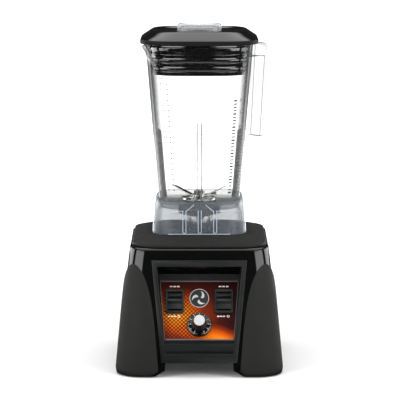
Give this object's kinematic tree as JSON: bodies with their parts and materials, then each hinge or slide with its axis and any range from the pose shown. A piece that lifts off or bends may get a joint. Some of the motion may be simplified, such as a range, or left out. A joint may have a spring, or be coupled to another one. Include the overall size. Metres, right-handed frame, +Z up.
{
  "type": "countertop blender",
  "caption": "Countertop blender: black four-legged motor base with paddle switches and a speed dial, tall clear square jar with blades, handle and spout, black lid with clear cap.",
  "frame": {"origin": "on the surface it stands on, at the centre of its footprint, which is the axis of the motor and jar", "axes": "+Z up, +X to the user's right when facing the controls, -Y towards the user"},
  "size_m": [0.2178, 0.2328, 0.4438],
  "materials": {
    "gloss_black": "moulded high gloss black",
    "matte_black": "soft matte dark grey overmould",
    "panel_black": "satin black moulding with fine grain",
    "lid_black": "glossy black vinyl",
    "clear": "clear copolyester",
    "smoke": "smoky translucent plastic",
    "steel": "polished stainless",
    "label": "printed panel, amber glow on dark mesh",
    "white_plastic": "white moulded cap",
    "copper": "enamelled copper winding",
    "lamination": "stacked steel laminations",
    "aluminium": "cast aluminium",
    "carbon": "carbon block",
    "board_green": "printed circuit board",
    "seal_rubber": "black rubber seal"
  },
  "bodies": {
    "base": {"housing_shell": "gloss_black", "leg_pad_front_left": "matte_black", "leg_pad_front_right": "matte_black", "leg_pad_rear_left": "matte_black", "leg_pad_rear_right": "matte_black", "rubber_feet": "seal_rubber", "base_plate": "panel_black", "base_plate_screws": "steel", "cord_inlet": "panel_black", "control_bezel": "panel_black", "control_label": "label", "run_switch_frame": "panel_black", "run_switch_body": "panel_black", "power_switch_frame": "panel_black", "power_switch_body": "panel_black", "dial_control": "panel_black", "control_board": "board_green", "stator_core": "lamination", "field_coils": "copper", "lower_bearing": "steel", "upper_bearing": "steel", "deck_seal": "seal_rubber", "carbon_brushes": "carbon", "brush_holders": "copper", "lower_bracket": "aluminium", "upper_bracket": "aluminium", "motor_bolts": "steel"},
    "motor": {"rotor": "lamination", "motor_shaft": "steel", "commutator": "copper", "cooling_fan": "panel_black", "splash_slinger": "panel_black", "drive_coupling": "steel"},
    "run_paddle": {"run_paddle": "panel_black"},
    "power_paddle": {"power_paddle": "panel_black"},
    "dial": {"speed_dial": "gloss_black", "dial_cap": "white_plastic", "dial_shaft": "steel"},
    "jar_pad": {"jar_pad": "matte_black"},
    "jar": {"jar": "clear", "jar_handle": "clear", "jar_boot": "smoke", "jar_gasket": "seal_rubber", "boot_nut": "panel_black", "bearing_housing": "steel", "blade_bearings": "steel", "blade_seal": "seal_rubber"},
    "blades": {"drive_socket": "steel", "blade_shaft": "steel", "lower_blade": "steel", "upper_blade": "steel", "blade_nut": "steel"},
    "lid": {"lid": "lid_black"},
    "cap": {"lid_cap": "clear"}
  },
  "joints": [
    {"name": "motor_spin", "type": "hinge", "parent": "base", "child": "motor", "pos_m": [0, 0, 0.1], "axis": [0, 0, 1], "continuous": true},
    {"name": "run_paddle_rock", "type": "hinge", "parent": "base", "child": "run_paddle", "pos_m": [-0.0315, -0.0809, 0.09306], "axis": [1, 0, 0], "range_deg": [0, 16], "stiffness_Nm_per_rad": 0.02, "springref_deg": -17.19},
    {"name": "power_paddle_rock", "type": "hinge", "parent": "base", "child": "power_paddle", "pos_m": [0.0315, -0.0809, 0.09306], "axis": [1, 0, 0], "range_deg": [0, 16]},
    {"name": "speed_dial_turn", "type": "hinge", "parent": "base", "child": "dial", "pos_m": [0, -0.09503, 0.06488], "axis": [0, -0.8746, 0.4848], "range_deg": [-150, 150]},
    {"name": "jar_pad_lift", "type": "slide", "parent": "base", "child": "jar_pad", "axis": [0, 0, 1], "range_m": [0, 0.06]},
    {"name": "jar_lift", "type": "slide", "parent": "jar_pad", "child": "jar", "axis": [0, 0, 1], "range_m": [0, 0.1]},
    {"name": "blade_spin", "type": "hinge", "parent": "jar", "child": "blades", "pos_m": [0, 0, 0.2], "axis": [0, 0, 1], "continuous": true},
    {"name": "lid_lift", "type": "slide", "parent": "jar", "child": "lid", "axis": [0, 0, 1], "range_m": [0, 0.08]},
    {"name": "cap_lift", "type": "slide", "parent": "lid", "child": "cap", "axis": [0, 0, 1], "range_m": [0, 0.04]}
  ],
  "couplings": [
    {"joint": "blade_spin", "follows": "motor_spin", "ratio": 1}
  ]
}
